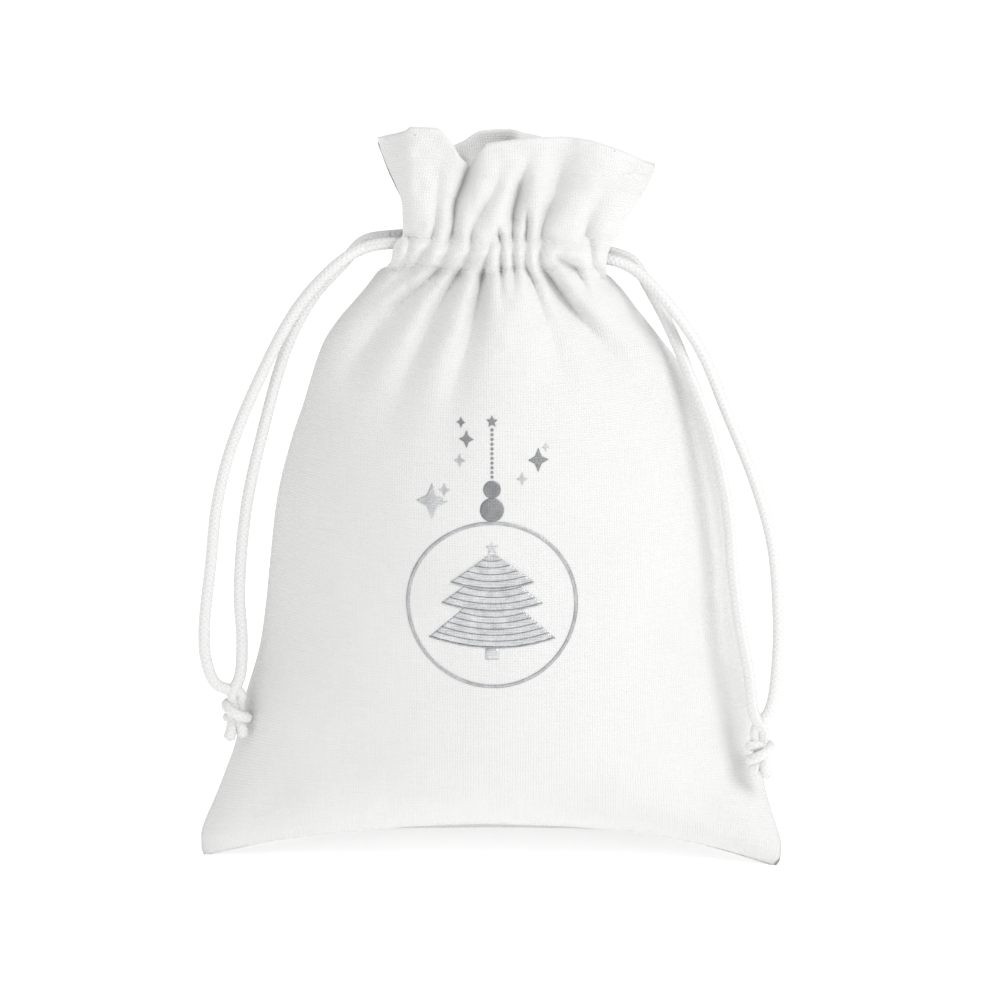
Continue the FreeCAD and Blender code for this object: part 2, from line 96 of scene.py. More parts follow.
# The side seams end here, and the back is a little narrower just above
SLIT_BOTTOM = 152.0
BACK_TUCK = 1.3
CHANNEL_TILT = 1.5
# The front's bottom edge arches up off the floor, and the back's settles on it
BOTTOM_ARCH = 8.0
ARCH_FADE = 45.0
SAG_REACH = 22.0
SETTLE = 1.0
# The bottom corners lean forward
EAR_LEAN = 11.0
EAR_TWIST = 5.0
EAR_FADE = 34.0
SEAM_GAP = 0.02
HEM_PLY = CLOTH * 1.12
# Inside the channel the hem lies this far from the middle, and nearer by the pinch this far out to the sides
HEM_DEPTH = 3.4
HEM_PINCH = 1.7
HEM_HALF = 27
# A row is worked out as dense points. Body rows end just below the slits, and the channel's start at them.
DENSE_POINTS = 901
BODY_TOP = 151.0
ROWS_BODY = 150
ROWS_CHANNEL = 20
ROWS_RUFFLE = 44
ROWS_INSIDE = 26
# The cloth's parts from left to right, split at these distances, with their columns
SPLITS = (-12.0, -4.0, 4.0, 12.0)
PARTS = ("left_side", "left", "middle", "right", "right_side")
PART_COLUMNS = (60, 34, 32, 34, 60)
PART_EDGES = np.concatenate([[0], np.cumsum(PART_COLUMNS)])
MIDDLE_COLUMN = 110

# Folds of the front as lines of (right, height, half width, depth). A negative depth is a ridge.
FOLDS = [
    [(-6.6, 186, 1.5, 2.6), (-7.6, 181, 1.5, 4.6), (-9.4, 175.4, 1.4, 5.6),
     (-11.2, 170.4, 1.3, 5.4), (-11.8, 164.5, 1.1, 3.4), (-13.3, 160, 0.9, 2.6),
     (-15.5, 154.5, 1.4, 3.6), (-23.2, 147.0, 2.3, 4.4), (-31, 138.6, 3.6, 4.0),
     (-37.5, 129, 5.2, 2.8), (-42, 118, 8, 0.6)],
    [(-15.0, 183, 2.2, 0.2), (-15.8, 174, 2.0, 1.6), (-16.2, 167.5, 1.4, 2.4), (-17, 163, 0.9, 2.0),
     (-19.5, 158.5, 0.9, 2.4), (-22.5, 154.0, 1.3, 2.0), (-31, 147.5, 2.0, 1.4),
     (-38, 142, 2.6, 0.6), (-42, 138, 4, 0)],
    [(0.5, 182, 2.6, 0.4), (-1, 175.5, 2.0, 1.8), (-4.4, 169, 1.5, 2.8), (-7, 164, 1.0, 2.2),
     (-7.6, 160, 0.8, 2.2), (-10, 153.8, 1.4, 4.0), (-14.2, 147.2, 2.1, 4.6),
     (-19.4, 137.6, 3.2, 4.0), (-24.5, 127, 5.0, 2.6), (-30, 115, 7, 0.6)],
    [(-2.6, 161, 0.7, 0.6), (-3.8, 156, 0.8, 2.2), (-4.6, 151.6, 1.5, 4.4), (-6.0, 144.5, 2.1, 4.4),
     (-8.4, 136.8, 3.0, 3.2), (-11.5, 127, 4.6, 2.2), (-14, 116, 6, 0.4)],
    [(-0.6, 165, 0.7, 1.0), (0.1, 160.6, 0.7, 3.0), (0.3, 155.6, 0.7, 3.0), (0.2, 151.8, 0.9, 1.4),
     (0, 147, 1.4, 0)],
    [(7.6, 184, 2.2, 0.4), (6.2, 178.5, 1.9, 2.6), (4.6, 172.7, 1.7, 5.6), (3.4, 167.6, 1.5, 5.6),
     (3.2, 163.5, 1.0, 3.4), (3.4, 158, 0.7, 3.0), (3.6, 154, 0.9, 1.8), (3.6, 149, 1.4, 0)],
    [(7.0, 170, 0.9, 0.4), (6.9, 165.6, 0.9, 3.0), (6.5, 161.5, 0.8, 2.8), (6.6, 156, 0.8, 2.4),
     (8.4, 151, 1.3, 2.8), (10.6, 145, 2.0, 2.4), (13.6, 138, 3.0, 1.8), (16.4, 129, 4.6, 0.6)],
    [(17.6, 186.5, 4.6, 1.6), (15.8, 180.2, 3.6, 3.6), (14.2, 173.6, 2.6, 4.4),
     (12.2, 168.7, 1.8, 4.6), (10.5, 163.5, 1.1, 3.4), (10.1, 158.5, 0.8, 3.0),
     (10.8, 154.6, 1.1, 3.6), (13.2, 150.9, 1.6, 4.8), (17.4, 145.0, 2.3, 5.2),
     (22.4, 139.0, 3.2, 4.4), (29.6, 131.4, 4.6, 3.0), (37.5, 123, 6.4, 1.4)],
    [(14.5, 158.5, 0.9, 0.8), (16.4, 156.8, 0.9, 2.4), (18.6, 155.2, 1.0, 2.8),
     (20.6, 152, 1.2, 1.8), (23, 147, 1.8, 0)],
    [(21.5, 163, 1.0, 1.8), (22.4, 167, 1.8, 2.0), (25.4, 172.5, 2.6, 1.4), (28, 178, 3, 0)],
    [(22.6, 161, 0.9, 1.8), (23.4, 156, 1.0, 2.0), (27, 150, 1.6, 1.0), (32, 144, 2.4, 0)],
    [(-22.8, 162, 0.9, 1.2), (-23.6, 157, 0.9, 1.8), (-27, 151, 1.4, 1.0), (-33, 146, 2.2, 0)],
    [(-40, 112, 16, -1.0), (-20, 104, 18, -0.8), (0, 106, 16, 0)],
    [(54, 60, 2.2, 0.3), (57.6, 42, 2.0, 1.4), (60.5, 30, 2.0, 1.6), (62, 22, 2.4, 0)],
    [(-52, 28, 8, 0), (-58, 18, 6, 1.4), (-66, 9, 4, 0.4)],
    [(46, 26, 8, 0), (54, 17, 6, 1.2), (62, 8, 4, 0.4)],
]

# Cords: half distances between their strands, heights in the channel, where the strands leave it and where a
# loop turns as (distance out, height), and the strands and knot as (distance out, height, distance forward)
CORD_R = 1.5
CORD_Y = 6.0
CORD_Y_OUT = 4.3
# Where a cord's straight runs start and end, and its turn inside the channel as (distance out, place back)
RUN_START = 18
RUN_END = -22
RUN_TURN = [(-24.6, -3.6), (-25.4, 0), (-24.6, 3.6)]
CORDS = {
    "left": {
        "side": -1, "height": 160.2, "lead": (27.7, 160.2), "pivot": (34.2, 158.99),
        "front": [(40.8, 155.4, 6.4), (51.0, 144.2, 6.5), (60.7, 126.0, 6.5), (68.4, 107.0, 6.5),
                  (72.0, 92.0, 6.5), (73.6, 77.0, 6.5), (75.4, 60.0, 6.5), (75.0, 52.0, 6.5),
                  (72.4, 45.4, 6.5)],
        "back": [(40.0, 154.4, 3.4), (47.4, 145.6, 2.0), (53.8, 133.4, 2.5), (60.4, 110.4, 4.0),
                 (64.6, 90.9, 5.0), (66.4, 69.0, 5.5), (65.8, 57.0, 6.0), (66.4, 47.5, 6.5)],
        "knot": (67.3, 38.2, 6.5), "turn": 0.3,
    },
    "right": {
        "side": 1, "height": 157.0, "lead": (27.9, 156.0), "pivot": (33.66, 153.59),
        "front": [(41.6, 146.2, 7.0), (50.4, 134.0, 8.0), (57.6, 117.0, 9.0), (64.6, 99.5, 10.0),
                  (69.0, 84.0, 11.5), (70.6, 68.0, 12.5), (70.6, 54.0, 13.5), (68.8, 41.0, 14.5)],
        "back": [(37.6, 147.6, -1.4), (42.8, 138.6, 3.6), (48.6, 125.4, 9.0), (53.4, 113.0, 12.5),
                 (57.6, 94.0, 14.8), (59.2, 76.0, 15.4), (61.0, 63.0, 15.6), (63.4, 50.0, 15.4),
                 (64.8, 39.5, 14.8)],
        "knot": (66.2, 30.4, 14.5), "turn": 2.2,
    },
}
CORD_SIDES = 18
CORD_STEP = 0.6
KNOT_REACH = 4.2
KNOT_SQUEEZE = 0.16
# Stitches: length, gap, distance of the first and last ones from the cloth's ends, thread radius, how high
# their middles arch and how deep their ends sink
STITCH = 2.1
STITCH_GAP = 0.55
STITCH_START = 0.8
STITCH_R = 0.17
STITCH_ARCH = 0.16
STITCH_SINK = 0.1

# Foil print: the bauble's middle, radius and line
PRINT_X = -2.0
BAUBLE_Z = 73.6
BAUBLE_R = 21.6
BAUBLE_LINE = 0.85
# Tree tiers: top, foot, half widths there, and number of garland lines
TIERS = [(13.1, 5.8, 0.8, 10.6, 5), (6.0, 0.3, 5.7, 12.8, 4), (0.6, -8.9, 5.6, 16.0, 7)]
TIER_SAG = 1.55
STRIPE = 0.2
TRUNK_HALF = 1.6
TRUNK_HEIGHT = 2.8
# The print is laid on the cloth from this far in front. Its under and upper sides stand off the cloth this
# much, and garlands and upper tiers lie higher by their lifts.
PRINT_FROM = -80
FOIL_LOW = 0.03
FOIL_HIGH = 0.12
STRIPE_LIFT = 0.07
TIER_LIFT = 0.08
# Above the bauble's top: the beads as (height, radius, rows, columns), and the hanger's dots
BEADS = [(2.9, 3.0, 7, 49), (8.0, 2.2, 6, 41)]
HANGER_DOTS = 11
HANGER_LOW = 11.1
HANGER_PITCH = 1.15
HANGER_STAR = 24.6
SPARKLE_WAIST = 0.46
# Sparkles: across, up, half height, and 1 for the duller foil
SPARKLES = [(-15.1, 26.4, 4.4, 0), (-12.0, 29.3, 1.6, 0), (-8.1, 36.6, 1.6, 0),
            (-6.4, 41.8, 2.1, 1), (-7.8, 45.7, 1.3, 1), (7.6, 32.1, 1.6, 0), (11.6, 36.6, 2.9, 1),
            (13.5, 39.6, 1.0, 0)]

# Colours, and the pitch of the cloth's threads
THREAD_PITCH = 0.66
BLACK = (0, 0, 0)
COTTON_TINT = (0.79, 0.79, 0.785)
CORD_TINT = (0.8, 0.8, 0.795)
THREAD_TONE = 0.86
OVERLOCK_TONE = 0.8
# Foil tones with their roughness: the brightest, a middle grey and the darkest
FOILS = {"bright": ((0.58, 0.585, 0.595), 0.36), "mid_grey": ((0.46, 0.465, 0.475), 0.38),
         "dull": ((0.29, 0.295, 0.305), 0.42)}
FLOOR_TINT = (0.93, 0.93, 0.93)

# Stage: the camera's angle and distance in metres, the height it looks at and the width it takes in, and each
# light's place, size and power
CAMERA_ELEVATION = 14.2
CAMERA_DISTANCE = 2.4
VIEW_HEIGHT = 92.1
VIEW_WIDTH = 255.0
SENSOR = 36.0
FLOOR_HALF = 15000.0
FLOOR_GLOW = 0.38
SKY = 0.68
LIGHT_TARGET = 95
LIGHTS = {"key": ((0.75, -0.55, 0.85), 0.6, 6.2), "fill": ((-0.6, -0.6, 1.0), 0.8, 1.3)}


def to_frame(points):
    return np.asarray(points, float) * MM + MIDDLE


def smooth(t):
    t = np.clip(t, 0, 1)
    return t * t * (3 - 2 * t)


def curve_through(points):
    """A smooth function through (x, y) points that doesn't overshoot them."""
    x, y = np.array(points, float).T
    gap = np.diff(x)
    rise = np.diff(y) / gap
    slope = np.concatenate([rise[:1], np.zeros(len(rise) - 1), rise[-1:]])
    same = rise[1:] * rise[:-1] > 0
    slope[1:-1][same] = 2 * rise[1:][same] * rise[:-1][same] / (rise[1:][same] + rise[:-1][same])

    def value(at):
        at = np.clip(at, x[0], x[-1])
        i = np.clip(np.searchsorted(x, at) - 1, 0, len(gap) - 1)
        t = (at - x[i]) / gap[i]
        return ((1 + 2 * t) * (1 - t) ** 2 * y[i] + t * (1 - t) ** 2 * gap[i] * slope[i]
                + t * t * (3 - 2 * t) * y[i + 1] - t * t * (1 - t) * gap[i] * slope[i + 1])
    return value


left_edge = curve_through(LEFT_EDGE)
right_edge = curve_through(RIGHT_EDGE)
depth_of = {FRONT: curve_through(FRONT_DEPTH), BACK: curve_through(BACK_DEPTH)}
rim_of = {FRONT: curve_through(FRONT_RIM), BACK: curve_through(BACK_RIM)}


def wander(x, z, size, seed):
    """Soft seeded noise from about -1 to 1 with features of a given size."""
    grid = np.random.default_rng(seed).uniform(-1, 1, (64, 64))
    i, j = np.asarray(x) / size + 31.5, np.asarray(z) / size + 5.5
    a, b = np.floor(i).astype(int), np.floor(j).astype(int)
    s, t = smooth(i - a), smooth(j - b)
    a, b = a % 63, b % 63
    return (grid[a, b] * (1 - s) * (1 - t) + grid[a + 1, b] * s * (1 - t)
            + grid[a, b + 1] * (1 - s) * t + grid[a + 1, b + 1] * s * t)


def fold_depth(x, z, widen=1.0):
    """How far the folds push the cloth in at places of the front view."""
    total = np.zeros_like(x)
    for fold in FOLDS:
        deepest = np.zeros_like(x)
        points = np.array(fold, float)
        steps = np.linspace(0, len(points) - 1, 5 * (len(points) - 1) + 1)
        line = np.stack([curve_through(list(enumerate(points[:, k])))(steps) for k in range(4)], axis=1)
        for a, b in zip(line, line[1:]):
            along = b[:2] - a[:2]
            t = np.clip(((x - a[0]) * along[0] + (z - a[1]) * along[1]) / (along @ along), 0, 1)
            away = np.hypot(x - a[0] - along[0] * t, z - a[1] - along[1] * t)
            width = (a[2] + (b[2] - a[2]) * t) * widen
            push = np.exp(-(away / width) ** 1.6) + 0.3 * np.exp(-(away / (2.4 * width)) ** 2)
            push *= a[3] + (b[3] - a[3]) * t
            deepest = np.where(np.abs(push) > np.abs(deepest), push, deepest)
        total += deepest
    return total


def bell(at, centre, reach, power=2):
    """1 at the centre, falling to nothing beyond the reach. A higher power gives a flatter top."""
    return np.exp(-((at - centre) / reach) ** power)


def row_outline(facing, height, rise, dense):
    """A row seen from above: places to the right, the same as shares of the half width, and how far the cloth
    stands out from the side seams."""
    left, right = -left_edge(height), right_edge(height)
    middle, half = (left + right) / 2, (right - left) / 2
    if facing == BACK:
        half -= BACK_TUCK * bell(height, SLIT_BOTTOM + 1, 6, 4)
    angle = dense * math.pi / 2
    flat = smooth((height - LENS_TOP) / (CHANNEL_LOW - LENS_TOP))
    x = middle + half * ((1 - flat) * np.sin(angle) + flat * dense)
    lens = np.cos(angle) ** 1.5
    ends = 1 - END_DROP * np.abs(dense) ** 5
    if rise > 0:
        recede = sum(share * smooth((side * x - start) / over) for side, share, start, over in RUFFLE_ENDS)
        ends *= 1 - recede * smooth(rise * 1.9)
    out = depth_of[facing](height) * ((1 - flat) * lens + flat * ends)
    open_side = smooth((height - SLIT_BOTTOM) / (CHANNEL_LOW - SLIT_BOTTOM))
    out *= 1 - (1 - open_side) * np.abs(dense) ** 12
    return x, (x - middle) / half, out


def row_heights(facing, height, rise, x, across, out):
    """Heights along a row: arched or settled at the bottom, tilted in the channel and wavy at the rim."""
    lift = BOTTOM_ARCH * (1 - smooth(height / ARCH_FADE))
    if facing == BACK:
        lift = lift - smooth(out / SAG_REACH) * (lift + SETTLE * (1 - smooth(height / 12)))
    else:
        lift = lift + 0.6 * wander(x, 0 * x, 13, 91) * (1 - smooth(height / 25)) * (1 - across ** 2)
    z = height + lift * (1 - across ** 2)
    if rise > 0:
        z = CHANNEL_HIGH + (rim_of[facing](x) - CHANNEL_HIGH) * rise
    gather = bell(z, CHANNEL_MIDDLE, 9, 4)
    z = z - CHANNEL_TILT * smooth((x - 4) / 22) * gather
    return z + gather * (1.1 * wander(x, z * 0, 4.2, 51 + facing) + 0.5 * wander(x, z * 0, 1.9, 61 + facing))


def neck_push(facing, x, z):
    """How far the gathers and the channel's seams push the cloth in."""
    if facing == FRONT:
        push = (1.15 - 0.25 * smooth((z - 160) / 8)) * fold_depth(x, z)
    else:
        push = 1.1 * fold_depth(-x * 1.03 - 1.5, z + 0.6, 1.15)
    in_channel = bell(z, CHANNEL_MIDDLE, 4, 4)
    push = np.where(push > 0, push * (1 - in_channel) + in_channel * 3 * np.tanh(push / 3), push)
    gathered = smooth((z - 128) / 22) * (1 - 0.5 * smooth((z - CHANNEL_HIGH) / 6))
    push = push - 1.3 * gathered
    push += 0.5 * gathered * wander(x, z, 3.1, 11 + facing)
    push += 0.7 * in_channel * wander(x, z, 3.7, 81 + facing)
    uneven = 0.5 + 0.7 * wander(x, z * 0, 2.7, 71 + facing)
    for seam_height in (CHANNEL_LOW, CHANNEL_HIGH):
        push += uneven * bell(z, seam_height, 1.3)
    return push - 0.5 * bell(z, 159.5, 2.2)


def body_push(facing, x, z, across, height):
    """How far the body's soft lumps push the cloth in."""
    belly = smooth(height / 12) * (1 - smooth((height - 132) / 10))
    low = (0.5 + 0.5 * np.abs(across)) * (1 - smooth(height / 30))
    return (belly * (0.85 * wander(x, z, 24, 21 + facing) + 0.22 * wander(x, z, 9, 31 + facing))
            + 0.25 * low * wander(x, z, 5, 41 + facing))


def cloth_row(facing, height, rise, dense):
    """A row of the cloth as dense points from the left edge to the right one. The height is the row's height
    on the body and channel. On the ruffle, rise goes from 0 at the channel to 1 at the rim."""
    if rise > 0:
        height = CHANNEL_HIGH + (RUFFLE_TOP - CHANNEL_HIGH) * rise
    x, across, out = row_outline(facing, height, rise, dense)
    z = row_heights(facing, height, rise, x, across, out)
    fade = 1 - np.abs(across) ** 8 * (1 - smooth((height - SLIT_BOTTOM) / 5))
    out = out - fade * (neck_push(facing, x, z) + body_push(facing, x, z, across, height))
    if height < SLIT_BOTTOM + 2:
        out = np.maximum(out, 0)
    ear_curl = across ** 2 * (EAR_LEAN + EAR_TWIST * across) * (1 - smooth(height / EAR_FADE))
    y = facing * (out + SEAM_GAP + CLOTH / 2 * smooth(out / 2)) - ear_curl
    return np.stack([x, y, z], axis=-1)


def even(points, count):
    """The same line with evenly spaced points."""
    length = distances(points)
    at = np.linspace(0, length[-1], count)
    return np.stack([np.interp(at, length, points[:, k]) for k in range(3)], axis=1)


def cloth_grid(facing):
    """The middle surface of one cloth: rows from the bottom seam up to the rim."""
    dense = np.linspace(-1, 1, DENSE_POINTS)
    body = BODY_TOP * np.linspace(0, 1, ROWS_BODY) ** 1.5
    channel = np.linspace(SLIT_BOTTOM, CHANNEL_HIGH, ROWS_CHANNEL)
    rows = [cloth_row(facing, height, 0, dense) for height in np.concatenate([body, channel])]
    rows += [cloth_row(facing, 0, rise, dense) for rise in np.linspace(0, 1, ROWS_RUFFLE + 1)[1:]]
    return np.array([cut_row(row) for row in rows])


def cut_row(row):
    """A dense row as evenly spaced columns in each part, with a column on each line between two parts."""
    order = np.arange(len(row))
    cuts = np.interp(SPLITS, row[:, 0], order)
    ends = [np.array([np.interp(cut, order, row[:, k]) for k in range(3)]) for cut in cuts]
    columns = []
    for part, count in enumerate(PART_COLUMNS):
        low = 0 if part == 0 else int(cuts[part - 1]) + 1
        high = len(row) if part == len(PART_COLUMNS) - 1 else int(cuts[part]) + 1
        points = [ends[part - 1]] * (part > 0) + list(row[low:high]) + ends[part:part + 1]
        columns.append(even(np.array(points), count + 1)[1 if part else 0:])
    return np.vstack(columns)


def grid_normals(grid, facing):
    """Outward unit normals of a grid. Along the side seams they point sideways, so that the cloths meet."""
    normal = np.cross(np.gradient(grid, axis=1), np.gradient(grid, axis=0))
    for column in (0, -1):
        sewn = smooth((SLIT_BOTTOM + 1 - grid[:, column, 2]) / 3)
        normal[:, column, 1] *= 1 - 0.9 * sewn
    normal /= np.maximum(np.linalg.norm(normal, axis=2, keepdims=True), 1e-9)
    return -facing * normal


def with_hem(grid, facing):
    """Adds the hem: over the rim, down inside the ruffle, round the cords and back to the lower stitches."""
    normals = grid_normals(grid, facing)
    rim_row = len(grid) - 1
    top = [grid[rim_row] - normals[rim_row] * HEM_PLY / 2 + np.array([0, 0, HEM_PLY / 2])]
    first_ruffle = ROWS_BODY + ROWS_CHANNEL - 1
    inside = []
    for row in range(rim_row, first_ruffle, -2):
        inside.append(grid[row] - normals[row] * HEM_PLY)
    channel = []
    for share in np.linspace(0, 1, ROWS_INSIDE):
        height = CHANNEL_HIGH + (CHANNEL_LOW - CHANNEL_HIGH) * share
        row = np.argmin(np.abs(grid[:first_ruffle + 1, MIDDLE_COLUMN, 2] - height))
        points = grid[row] - normals[row] * HEM_PLY
        round_cords = math.sin(math.pi * share) ** 0.5
        depth = HEM_DEPTH - HEM_PINCH * (points[:, 0] / HEM_HALF) ** 4
        points[:, 1] += round_cords * (facing * depth - points[:, 1])
        points[:, 2] = points[:, 2] * 0.3 + 0.7 * height
        points[:, 0] *= 1 - 0.06 * round_cords
        channel.append(points)
    return np.vstack([grid, top, inside, channel])


def sheet_faces(index, count, closed=False):
    """Faces of a thin sheet. The index numbers its outer points, and its inner ones come count later. Walls
    along its edges close it. A closed sheet runs right round, with walls only at its first and last rows."""
    quads = np.stack([index[:-1, :-1], index[:-1, 1:], index[1:, 1:], index[1:, :-1]], axis=-1)
    faces = [quads.reshape(-1, 4), quads.reshape(-1, 4)[:, ::-1] + count]
    edges = [index[0, ::-1], index[-1]]
    if not closed:
        edges += [index[:, 0], index[::-1, -1]]
    for edge in edges:
        wall = np.stack([edge[:-1], edge[:-1] + count, edge[1:] + count, edge[1:]], axis=-1)
        faces.append(wall[:, ::-1])
    return np.vstack(faces)


def distances(line):
    """How far along a line each of its points is."""
    return np.concatenate([[0], np.cumsum(np.linalg.norm(np.diff(line, axis=0), axis=1))])


def sheet_objects(name, grid, facing):
    """The cloth as closed meshes that meet at the splits, each with its thickness and its UVs in mm."""
    normals = grid_normals(grid, facing)
    along = distances(grid[:, MIDDLE_COLUMN])
    across = np.array([distances(row) for row in grid])
    across -= across[:, MIDDLE_COLUMN:MIDDLE_COLUMN + 1]
    objects = []
    for part_name, first, last in zip(PARTS, PART_EDGES, PART_EDGES[1:]):
        columns = slice(first, last + 1)
        part, normal = grid[:, columns].reshape(-1, 3), normals[:, columns].reshape(-1, 3)
        points = np.vstack([part + normal * CLOTH / 2, part - normal * CLOTH / 2])
        wide = last + 1 - first
        uv = np.stack([across[:, columns], np.repeat(along[:, None], wide, axis=1)], axis=-1).reshape(-1, 2)
        faces = sheet_faces(np.arange(len(part)).reshape(-1, wide), len(part))
        if facing == BACK:
            faces = faces[:, ::-1]
        obj = new_mesh(name + "_" + part_name, points, faces, uv=np.vstack([uv, uv + 0.5]))
        obj.data.normals_split_custom_set_from_vertices([Vector(n) for n in np.vstack([normal, -normal])])
        objects.append(obj)
    return objects


def new_mesh(name, points, faces, uv=None):
    mesh = bpy.data.meshes.new(name)
    mesh.from_pydata(to_frame(points).tolist(), [], [list(map(int, face)) for face in faces])
    if uv is not None:
        layer = mesh.uv_layers.new(name="UVMap")
        corners = np.zeros(len(mesh.loops), dtype=np.int32)
        mesh.loops.foreach_get("vertex_index", corners)
        layer.data.foreach_set("uv", np.asarray(uv, float)[corners].astype(np.float32).ravel())
    mesh.polygons.foreach_set("use_smooth", [True] * len(mesh.polygons))
    mesh.update()
    obj = bpy.data.objects.new(name, mesh)
    bpy.context.scene.collection.objects.link(obj)
    return obj


def merged(parts):
    """Point, face and UV lists of several meshes as one."""
    points, faces, uvs, start = [], [], [], 0
    for part_points, part_faces, part_uv in parts:
        points.append(np.asarray(part_points, float))
        faces += [[int(i) + start for i in face] for face in part_faces]
        uvs.append(np.asarray(part_uv, float))
        start += len(part_points)
    return np.vstack(points), faces, np.vstack(uvs)


def spline(points, step):
    """A Catmull-Rom line through points, with the sample number of each given point."""
    points = np.array(points, float)
    padded = np.vstack([2 * points[0] - points[1], points, 2 * points[-1] - points[-2]])
    line, marks = [], []
    for a, b, c, d in zip(padded, padded[1:], padded[2:], padded[3:]):
        gaps = [max(np.linalg.norm(q - p), 1e-6) ** 0.5 for p, q in ((a, b), (b, c), (c, d))]
        knots = np.cumsum([0] + gaps)
        count = max(2, int(round(np.linalg.norm(c - b) / step)))
        marks.append(len(line))
        for t in knots[1] + (knots[2] - knots[1]) * np.arange(count) / count:
            ab = (a * (knots[1] - t) + b * (t - knots[0])) / (knots[1] - knots[0])
            bc = (b * (knots[2] - t) + c * (t - knots[1])) / (knots[2] - knots[1])
            cd = (c * (knots[3] - t) + d * (t - knots[2])) / (knots[3] - knots[2])
            abc = (ab * (knots[2] - t) + bc * (t - knots[0])) / (knots[2] - knots[0])
            bcd = (bc * (knots[3] - t) + cd * (t - knots[1])) / (knots[3] - knots[1])
            line.append((abc * (knots[2] - t) + bcd * (t - knots[1])) / (knots[2] - knots[1]))
    marks.append(len(line))
    line.append(points[-1])
    return np.array(line), marks


def tube(line, radius, sides, start_length=0.0, round_ends=(False, False)):
    """A closed tube along a line, with UVs as (distance round, distance along) in mm."""
    tangent = np.gradient(line, axis=0)
    tangent /= np.linalg.norm(tangent, axis=1, keepdims=True)
    across = np.cross(tangent[0], [0.31, 0.17, 0.93])
    frames = []
    for direction in tangent:
        across = across - direction * (across @ direction)
        across /= np.linalg.norm(across)
        frames.append((across, np.cross(direction, across)))
    length = start_length + distances(line)
    radius = np.broadcast_to(radius, len(line))
    turns = np.arange(sides) * 2 * math.pi / sides
    points, uv = [], []
    for centre, (side, up), r, v in zip(line, frames, radius, length):
        ring = centre + r * (np.cos(turns)[:, None] * side + np.sin(turns)[:, None] * up)
        points.append(ring)
        uv.append(np.stack([turns, np.full(sides, v)], axis=1))
    points, uv = np.vstack(points), np.vstack(uv)
    faces = []
    for ring in range(len(line) - 1):
        for side in range(sides):
            a, b = ring * sides + side, ring * sides + (side + 1) % sides
            faces.append([a, b, b + sides, a + sides])
    last = (len(line) - 1) * sides
    caps = []
    for end, (row, way) in enumerate(((0, -1), (len(line) - 1, 1))):
        bulge = radius[row] * (0.7 if round_ends[end] else 0.0)
        caps.append(line[row] + way * tangent[row] * bulge)
    rims = [0, last]
    for end, start in enumerate((0, last)):
        if not round_ends[end]:
            rims[end] = len(points)
            points = np.vstack([points, points[start:start + sides]])
            uv = np.vstack([uv, uv[start:start + sides]])
    points = np.vstack([points, caps])
    uv = np.vstack([uv, [[0, length[0]], [0, length[-1]]]])
    for side in range(sides):
        following = (side + 1) % sides
        faces.append([len(points) - 2, rims[0] + following, rims[0] + side])
        faces.append([len(points) - 1, rims[1] + side, rims[1] + following])
    return points, faces, uv


def knot_paths(cord):
    """Both strands through the knot, as offsets from its middle. The front one wraps round the back one."""
    turn = cord["turn"]
    wrap = []
    for step in range(13):
        share = step / 12
        angle = turn + 2.4 * math.pi * share
        reach = 2.35 + 0.35 * math.sin(math.pi * share)
        wrap.append((reach * math.cos(angle), reach * math.sin(angle),
                     -2.5 + 4.3 * share + 0.8 * math.cos(angle)))
    front = [(-1.1, 0.2, 4.6), (-0.9, 0.3, 2.2), (-0.5, 0.2, -1.2)] + wrap
    front += [(0.9, -0.3, 0.9), (1.0, -0.2, -1.6), (1.3, -0.4, -4.4), (1.9, -0.5, -6.9)]
    back = [(1.1, -0.2, 4.6), (0.8, -0.1, 2.0), (-0.3, -0.3, -1.2), (-1.2, -0.4, -3.8), (-1.6, -0.3, -6.2)]
    return front, back


def cord_line(cord):
    """A whole cord's centre line from one cut end to the other, with the sample numbers where it is split."""
    side = cord["side"]

    def place(out, y, z):
        return (side * out, y, z)
    out, height, forward = cord["knot"]
    front_knot, back_knot = [[place(out + dx, dy - forward, height + dz) for dx, dy, dz in path]
                             for path in knot_paths(cord)]
    z = cord["height"]
    points = front_knot[::-1] + [place(o, -f, h) for o, h, f in cord["front"]][::-1]
    split = {"front_pivot": len(points)}
    points.append(place(cord["pivot"][0], -CORD_Y_OUT, cord["pivot"][1]))
    split["front_lead"] = len(points)
    points.append(place(cord["lead"][0], -CORD_Y_OUT, cord["lead"][1]))
    points.append(place(RUN_START, -CORD_Y, z))
    for cut in SPLITS[::-1]:
        split["front", cut] = len(points)
        points.append(place(cut, -CORD_Y, z))
    split["turn_start"] = len(points)
    points.append(place(RUN_END, -CORD_Y, z))
    points += [place(out, y, z) for out, y in RUN_TURN]
    split["turn_end"] = len(points)
    points.append(place(RUN_END, CORD_Y, z))
    for cut in SPLITS:
        split["back", cut] = len(points)
        points.append(place(cut, CORD_Y, z))
    points.append(place(RUN_START, CORD_Y, z))
    split["back_lead"] = len(points)
    points.append(place(cord["lead"][0], CORD_Y_OUT, cord["lead"][1]))
    split["back_pivot"] = len(points)
    points.append(place(cord["pivot"][0], CORD_Y_OUT, cord["pivot"][1]))
    points += [place(o, -f, h) for o, h, f in cord["back"]] + back_knot
    line, marks = spline(points, CORD_STEP)
    return line, {name: marks[index] for name, index in split.items()}


def cord_radius(line, cord):
    """Full thickness, drawn a little tighter inside the knot."""
    out, height, forward = cord["knot"]
    middle = np.array([cord["side"] * out, -forward, height])
    near = np.linalg.norm(line - middle, axis=1)
    return CORD_R * (1 - KNOT_SQUEEZE * bell(near, 0, KNOT_REACH, 4))


def blend_neck(obj):
    """Bakes a piece's placement into its mesh. Neighbouring parts meet at the splits."""
    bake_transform(obj)


